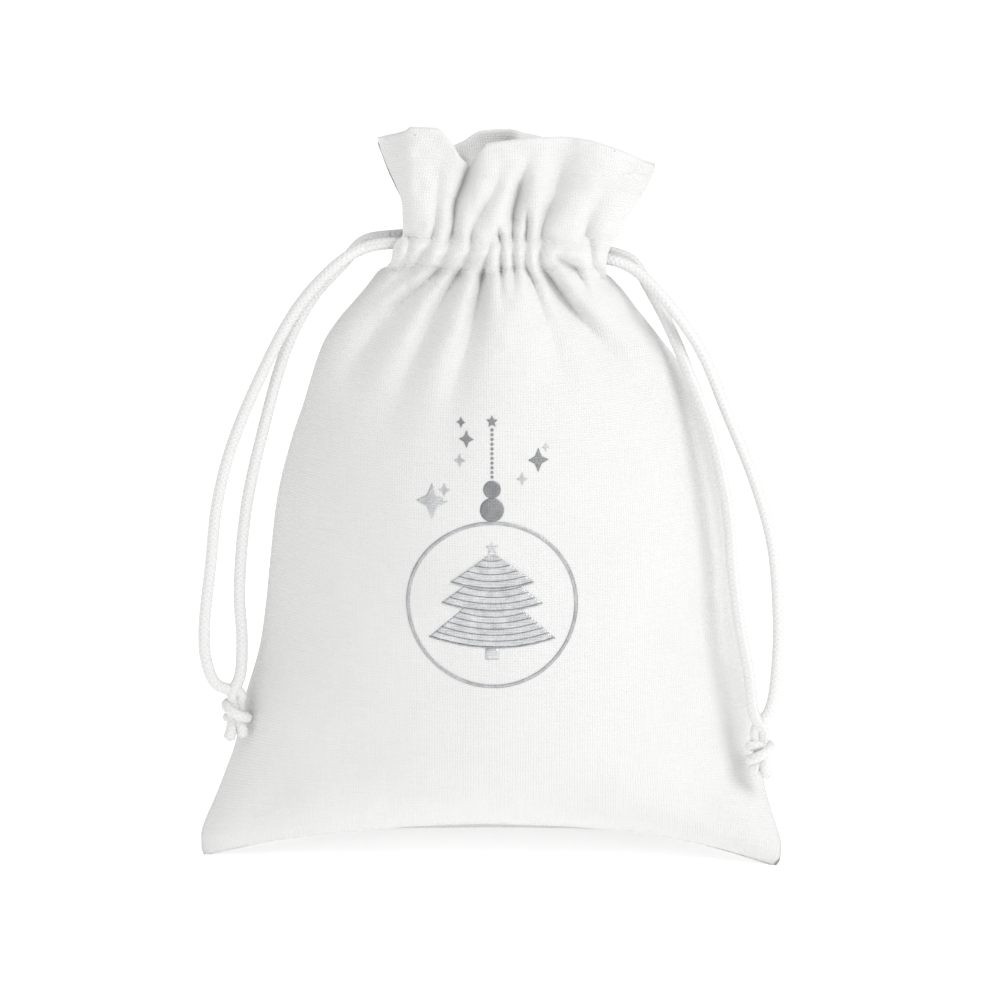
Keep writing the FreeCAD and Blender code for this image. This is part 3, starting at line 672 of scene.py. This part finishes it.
def build_cords(material):
    for name, cord in CORDS.items():
        line, at = cord_line(cord)
        radius = cord_radius(line, cord)
        length = distances(line)

        def piece(piece_name, node, *spans):
            tubes = []
            for start, end in spans:
                ends = (start == 0, end == len(line) - 1)
                stretch = slice(start, end + 1)
                tubes.append(tube(line[stretch], radius[stretch], CORD_SIDES, length[start], ends))
            obj = new_mesh(name + "_satin_" + piece_name, *merged(tubes))
            obj.data.materials.append(material)
            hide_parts(name + "_cord_" + node)
            return obj

        for face, facing, turn in (("front", FRONT, "turn_start"), ("back", BACK, "turn_end")):
            cuts = [at[face + "_lead"]] + [at[face, cut] for cut in SPLITS[::-1]] + [at[turn]]
            for part_name, *span in zip(PARTS if name == "left" else PARTS[::-1], cuts, cuts[1:]):
                obj = piece(face + "_run_" + part_name, face + "_run", sorted(span))
                blend_neck(obj)
        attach(piece("return", "return", (at["turn_start"], at["turn_end"])), "pouch")

        spans = (at["front_pivot"], at["front_lead"]), (at["back_lead"], at["back_pivot"])
        obj = piece("lead", "lead", *spans)
        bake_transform(obj)
        spans = (0, at["front_pivot"]), (at["back_pivot"], len(line) - 1)
        obj = piece("loop", "loop", *spans)
        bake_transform(obj)


def stitch_row(grid, facing, row):
    """Raised lockstitches along a row of the cloth, listed by the part of the cloth they are on."""
    normals = grid_normals(grid, facing)[row]
    line = grid[row] + normals * (CLOTH / 2)
    length = distances(line)
    by_part = {name: [] for name in PARTS}
    at = STITCH_START
    while at + STITCH < length[-1] - STITCH_START:
        spots = np.linspace(at, at + STITCH, 7)
        points = np.stack([np.interp(spots, length, line[:, k]) for k in range(3)], axis=1)
        normal = np.stack([np.interp(spots, length, normals[:, k]) for k in range(3)], axis=1)
        rise = STITCH_ARCH * np.sin(np.linspace(0, math.pi, 7)) ** 0.6 - STITCH_SINK
        part_name = PARTS[np.searchsorted(SPLITS, points[3, 0])]
        stitch = tube(points + normal * rise[:, None], STITCH_R, 7, at, (True, True))
        by_part[part_name].append(stitch)
        at += STITCH + STITCH_GAP
    return by_part


class Nodes:
    """A new material, with short ways to add the shader nodes that are used here."""

    def __init__(self, name):
        self.material = bpy.data.materials.new(name)
        self.material.use_nodes = True
        self.new = self.material.node_tree.nodes.new
        self.link = self.material.node_tree.links.new
        self.slots = self.material.node_tree.nodes["Principled BSDF"].inputs

    def math(self, operation, *inputs):
        node = self.new("ShaderNodeMath")
        node.operation = operation
        for slot, value in zip(node.inputs, inputs):
            if isinstance(value, (int, float)):
                slot.default_value = value
            else:
                self.link(value, slot)
        return node.outputs[0]

    def add(self, one, other):
        return self.math("ADD", one, other)

    def times(self, one, other):
        return self.math("MULTIPLY", one, other)

    def times_add(self, value, factor, extra):
        return self.math("MULTIPLY_ADD", value, factor, extra)

    def uv(self):
        node = self.new("ShaderNodeUVMap")
        node.uv_map = "UVMap"
        return node.outputs[0]

    def split(self, vector):
        node = self.new("ShaderNodeSeparateXYZ")
        self.link(vector, node.inputs[0])
        return node.outputs[:2]

    def noise(self, vector, scale, detail, stretch=None):
        if stretch:
            mapping = self.new("ShaderNodeMapping")
            mapping.inputs["Scale"].default_value = stretch
            self.link(vector, mapping.inputs["Vector"])
            vector = mapping.outputs[0]
        node = self.new("ShaderNodeTexNoise")
        node.inputs["Scale"].default_value = scale
        node.inputs["Detail"].default_value = detail
        self.link(vector, node.inputs["Vector"])
        return node.outputs["Fac"]

    def bump(self, height, strength, distance):
        node = self.new("ShaderNodeBump")
        node.inputs["Strength"].default_value = strength
        node.inputs["Distance"].default_value = distance
        self.link(height, node.inputs["Height"])
        self.link(node.outputs[0], self.slots["Normal"])

    def colour(self, share, low, high, clamp=True):
        node = self.new("ShaderNodeMix")
        node.data_type = "RGBA"
        node.clamp_factor = clamp
        node.inputs["A"].default_value = (*low, 1)
        node.inputs["B"].default_value = (*high, 1)
        self.link(share, node.inputs["Factor"])
        self.link(node.outputs["Result"], self.slots["Base Color"])

    def finished(self, **values):
        """The material, with plain values for slots whose names are given with _ for each space."""
        for name, value in values.items():
            self.slots[name.replace("_", " ")].default_value = value
        return self.material


def material_canvas(name, tint):
    """Plain-weave cotton from UVs in mm: wandering warp and weft that pass over and under each other, with
    thick places along both, cloudy patches and a few seed flecks."""
    nodes = Nodes(name)
    uv = nodes.uv()
    wobble = nodes.noise(uv, 0.7, 2)
    waves = []
    for axis, sway in zip(nodes.split(uv), (2.2, 2.6)):
        angle = nodes.times(axis, math.pi / THREAD_PITCH)
        waves.append(nodes.math("SINE", nodes.times_add(wobble, sway, angle)))
    warp, weft = [nodes.math("ABSOLUTE", wave) for wave in waves]
    over = nodes.math("GREATER_THAN", nodes.times(*waves), 0.0)
    warp_top = nodes.times(warp, nodes.times_add(weft, 0.5, 0.5))
    weft_top = nodes.times(weft, nodes.times_add(warp, 0.5, 0.5))
    under = nodes.math("SUBTRACT", 1.0, over)
    height = nodes.add(nodes.times(warp_top, over), nodes.times(weft_top, under))
    slub = nodes.add(nodes.noise(uv, 1.0, 2, stretch=(2.6, 0.12, 1)),
                     nodes.noise(uv, 1.0, 2, stretch=(0.12, 2.6, 1)))
    nodes.bump(nodes.times_add(slub, 0.55, height), 0.5, 0.00022)

    cells = nodes.new("ShaderNodeTexVoronoi")
    cells.inputs["Scale"].default_value = 0.045
    nodes.link(uv, cells.inputs["Vector"])
    fleck = nodes.math("LESS_THAN", cells.outputs["Distance"], 0.011)
    cloudy = nodes.noise(uv, 0.05, 3)
    # The colour is a little darker where the threads lie low: painted shade between the threads. Slubs,
    # cloudy patches and seed flecks are real tone.
    shade = nodes.times_add(height, 0.06, 0.94)
    for texture, amount, base in ((slub, 0.07, 0.93), (cloudy, 0.05, 0.975), (fleck, -0.35, 1.0)):
        shade = nodes.times(shade, nodes.times_add(texture, amount, base))
    nodes.colour(shade, BLACK, tint)
    return nodes.finished(Roughness=0.88, Specular_IOR_Level=0.25, Sheen_Weight=0.25, Sheen_Roughness=0.6)


def material_foil(name, tone, roughness):
    """Hot-stamped foil: it shines, the weave shows through it, and it is dull on the lowest threads."""
    nodes = Nodes(name)
    uv = nodes.uv()
    threads = []
    for axis in nodes.split(uv):
        wave = nodes.math("SINE", nodes.times(axis, math.pi / THREAD_PITCH))
        threads.append(nodes.math("ABSOLUTE", wave))
    height = nodes.times(*threads)
    grain = nodes.noise(uv, 2.2, 3)
    patchy = nodes.noise(uv, 0.35, 2)
    nodes.bump(nodes.add(height, grain), 0.4, 0.00015)
    shade = nodes.times(nodes.times_add(grain, 0.6, 0.7), nodes.times_add(patchy, 0.7, 0.65))
    nodes.colour(shade, BLACK, tone, clamp=False)
    covered = nodes.math("GREATER_THAN", nodes.times_add(grain, 0.8, height), 0.24)
    nodes.link(nodes.times(covered, 0.8), nodes.slots["Metallic"])
    return nodes.finished(Roughness=roughness)


def material_cord():
    """White satin cord: a fine diagonal braid with a soft sheen."""
    nodes = Nodes("satin_cord")
    uv = nodes.uv()
    turns, along = [nodes.times(axis, rate) for axis, rate in zip(nodes.split(uv), (5.0, 4.6))]
    one = nodes.math("SINE", nodes.add(turns, along))
    other = nodes.math("SINE", nodes.math("SUBTRACT", turns, along))
    braid = nodes.math("MAXIMUM", one, other)
    fibre = nodes.noise(uv, 1.0, 3, stretch=(5, 2.2, 1))
    nodes.bump(nodes.times_add(fibre, 1.2, braid), 0.4, 0.00016)
    # A little lighter on the braid's raised strands: painted shade in its grooves. The fibre noise is real
    # tone.
    nodes.colour(nodes.times_add(fibre, 0.36, nodes.times_add(braid, 0.035, 0.78)), BLACK, CORD_TINT)
    return nodes.finished(Roughness=0.38, Anisotropic=0.4, Specular_IOR_Level=0.55, Sheen_Weight=0.35,
                          Sheen_Roughness=0.35)


def material_thread(name, tone):
    """Sewing thread or overlocked edge: fine twisted strands."""
    nodes = Nodes(name)
    twist = nodes.new("ShaderNodeTexWave")
    twist.inputs["Scale"].default_value = 900.0
    twist.inputs["Distortion"].default_value = 1.5
    nodes.link(nodes.new("ShaderNodeTexCoord").outputs["Object"], twist.inputs["Vector"])
    nodes.bump(twist.outputs["Fac"], 0.5, 0.0001)
    # The colour follows the twist's relief: painted shade in its grooves.
    low, high = (tone * 0.88, tone * 0.88, tone * 0.87), (tone, tone, tone * 0.99)
    nodes.colour(twist.outputs["Fac"], low, high)
    return nodes.finished(Roughness=0.6, Sheen_Weight=0.2)


def foil_patch(shape, rows, columns, tree, lift=0.0, closed=False):
    """A thin piece of foil on the front cloth. shape(a, b) gives a point of the flat print from two shares.
    A closed piece runs right round, so its last column is its first one again."""
    a, b = np.meshgrid(np.linspace(0, 1, rows), np.linspace(0, 1, columns), indexing="ij")
    x, z = shape(a, b)
    down = x[1, 0] - x[0, 0], z[1, 0] - z[0, 0]
    right = x[0, 1] - x[0, 0], z[0, 1] - z[0, 0]
    inward = down[0] * right[1] > down[1] * right[0]
    if closed:
        x, z = x[:, :-1], z[:, :-1]
    flat = np.stack([x.ravel(), z.ravel()], axis=1)
    lower, upper = [], []
    for px, pz in flat:
        origin = Vector(to_frame([px, PRINT_FROM, pz]))
        spot, normal, _, _ = tree.ray_cast(origin, Vector((0, 1, 0)))
        lower.append(spot + normal * (FOIL_LOW + lift) * MM)
        upper.append(spot + normal * (FOIL_HIGH + lift) * MM)
    points = (np.array([list(p) for p in upper + lower]) - MIDDLE) / MM
    index = np.arange(len(flat)).reshape(rows, -1)
    if closed:
        index = np.hstack([index, index[:, :1]])
    faces = sheet_faces(index, len(flat), closed)
    if inward:
        faces = faces[:, ::-1]
    return points, faces, np.vstack([flat, flat])


def ring_shape(x, z, inner, outer):
    def shape(a, b):
        radius = inner + (outer - inner) * a
        return x + radius * np.sin(2 * math.pi * b), z + radius * np.cos(2 * math.pi * b)
    return shape


def star_shape(x, z, radius, points, waist, slim=1.0):
    def shape(a, b):
        step = math.pi / points
        turn = np.abs((b * 2 * math.pi + step) % (2 * step) - step)
        reach = radius * waist * math.sin(step) / (np.sin(turn) + waist * np.sin(step - turn))
        reach = reach * (0.04 + 0.96 * a)
        return x + slim * reach * np.sin(2 * math.pi * b), z + reach * np.cos(2 * math.pi * b)
    return shape


def band_shape(top, foot, top_half, foot_half, low, high):
    """A sagging band across a tree tier between two shares of its height."""
    def shape(a, b):
        share = low + (high - low) * a
        half = top_half + (foot_half - top_half) * share
        across = 2 * b - 1
        z = top + (foot - top) * share - TIER_SAG * half / TIERS[0][3] * (1 - across ** 2)
        return PRINT_X + half * across, BAUBLE_Z + z
    return shape


def stripe_shape(top, foot, top_half, foot_half, share, thick):
    """A garland line across a tree tier."""
    low = share - thick / (top - foot) / 2
    return band_shape(top, foot, top_half, foot_half, low, low + thick / (top - foot))


def build_foil(front):
    """The printed bauble. The foil is brightest on the tree and a middle grey on the bauble's ring. The
    garlands, beads, hanger and some stars are duller still."""
    vertices, faces = [], []
    for obj in front:
        start = len(vertices)
        vertices += [v.co.copy() for v in obj.data.vertices]
        faces += [[i + start for i in p.vertices] for p in obj.data.polygons]
    tree = BVHTree.FromPolygons(vertices, faces)
    top = BAUBLE_Z + BAUBLE_R

    def ring(z, inner, outer, rows, columns):
        return foil_patch(ring_shape(PRINT_X, z, inner, outer), rows, columns, tree, closed=True)

    def star(x, z, size, points, waist, slim=1.0):
        shape = star_shape(x, z, size, points, waist, slim)
        return foil_patch(shape, 6, 8 * points + 1, tree, closed=True)

    def trunk(a, b):
        foot = TIERS[-1][1] - TIER_SAG * 1.5 - 0.1
        return PRINT_X + TRUNK_HALF * (2 * b - 1), BAUBLE_Z + foot - TRUNK_HEIGHT * a

    garlands, tiers = [], [star(PRINT_X, BAUBLE_Z + 14.9, 1.7, 5, 0.45)]
    for below, tier in enumerate(TIERS[::-1]):
        lift = TIER_LIFT * below
        tiers.append(foil_patch(band_shape(*tier[:4], 0, 1), 12, 41, tree, lift))
        for k in range(tier[4]):
            shape = stripe_shape(*tier[:4], (k + 0.8) / tier[4], STRIPE)
            garlands.append(foil_patch(shape, 3, 41, tree, lift + STRIPE_LIFT))
    tiers.append(foil_patch(trunk, 5, 6, tree))
    hanger = [ring(top + HANGER_LOW + HANGER_PITCH * k, 0.02, 0.4, 3, 13) for k in range(HANGER_DOTS)]
    hanger.append(star(PRINT_X, top + HANGER_STAR, 1.5, 5, 0.5))
    sparkles = ([], [])
    for x, z, size, dull in SPARKLES:
        sparkles[dull].append(star(PRINT_X + x, BAUBLE_Z + z, size, 4, SPARKLE_WAIST, 0.88))
    pieces = {
        "bright": {"sparkles": sparkles[0], "tree": tiers},
        "mid_grey": {"bauble": [ring(BAUBLE_Z, BAUBLE_R - BAUBLE_LINE, BAUBLE_R, 3, 181)]},
        "dull": {"cap": [ring(top + up, 0.03, radius, rows, columns) for up, radius, rows, columns in BEADS],
                 "chain": hanger, "sparkles": sparkles[1], "tree": garlands},
    }
    for word, named in pieces.items():
        material = material_foil(word + "_foil", *FOILS[word])
        for name, patches in named.items():
            obj = new_mesh(word + "_" + name, *merged(patches))
            obj.data.materials.append(material)
            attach(obj, "pouch")
            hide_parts("foil_" + name)


def build_cloth(canvas, thread):
    for facing, word in ((FRONT, "front"), (BACK, "back")):
        outer = cloth_grid(facing)
        grid = with_hem(outer, facing)
        sheets = sheet_objects(word + "_cotton", grid, facing)
        for obj in sheets:
            obj.data.materials.append(canvas)
            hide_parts(word + "_panel", word + "_neck_cloth")
        stitched = {"upper": ROWS_BODY + ROWS_CHANNEL - 1, "lower": ROWS_BODY + 5}
        for level, row in stitched.items():
            for part_name, parts in stitch_row(outer, facing, row).items():
                obj = new_mesh(word + "_" + level + "_stitching_" + part_name, *merged(parts))
                obj.data.materials.append(thread)
                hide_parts(word + "_" + level + "_stitches")
                blend_neck(obj)
        if facing == FRONT:
            build_foil(sheets)
        for obj, part_name in zip(sheets, PARTS):
            blend_neck(obj)


def aim(obj, place, target):
    """Puts a light or camera in a place, facing the target."""
    obj.location = place
    obj.rotation_euler = (Vector(target) - Vector(place)).to_track_quat("-Z", "Y").to_euler()
    bpy.context.scene.collection.objects.link(obj)


def build_stage():
    """A pale floor, soft light from the upper right, and a long-lens camera a little above the pouch."""
    corners = [(x * FLOOR_HALF, y * FLOOR_HALF, 0) for x, y in ((-1, -1), (1, -1), (1, 1), (-1, 1))]
    floor = new_mesh("floor", np.array(corners) - MIDDLE / MM, [[0, 1, 2, 3]])
    pale = Nodes("pale_floor")
    pale.slots["Base Color"].default_value = (*FLOOR_TINT, 1)
    pale.slots["Emission Color"].default_value = (1, 1, 1, 1)
    floor.data.materials.append(pale.finished(Roughness=0.8, Emission_Strength=FLOOR_GLOW))

    world = bpy.data.worlds.new("studio")
    bpy.context.scene.world = world
    world.use_nodes = True
    world.node_tree.nodes["Background"].inputs["Color"].default_value = (1, 1, 1, 1)
    world.node_tree.nodes["Background"].inputs["Strength"].default_value = SKY
    for name, (place, size, power) in LIGHTS.items():
        light = bpy.data.lights.new(name, "AREA")
        light.size = size
        light.energy = power
        aim(bpy.data.objects.new(name, light), place, to_frame([0, 0, LIGHT_TARGET]))

    elevation = math.radians(CAMERA_ELEVATION)
    look = Vector(to_frame([0, 0, VIEW_HEIGHT]))
    data = bpy.data.cameras.new("camera")
    data.sensor_width = SENSOR
    data.lens = SENSOR * CAMERA_DISTANCE / (VIEW_WIDTH * MM)
    camera = bpy.data.objects.new("camera", data)
    aim(camera, look + CAMERA_DISTANCE * Vector((0, -math.cos(elevation), math.sin(elevation))), look)
    bpy.context.scene.camera = camera
    bpy.context.scene.view_settings.view_transform = "Standard"


build_cloth(material_canvas("cotton_canvas", COTTON_TINT), material_thread("sewing_thread", THREAD_TONE))
build_cords(material_cord())
overlock = material_thread("overlocked_edge", OVERLOCK_TONE)
for node in ("left_seam_overlock", "right_seam_overlock", "bottom_seam_overlock"):
    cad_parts[node].data.materials.clear()
    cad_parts[node].data.materials.append(overlock)
build_stage()
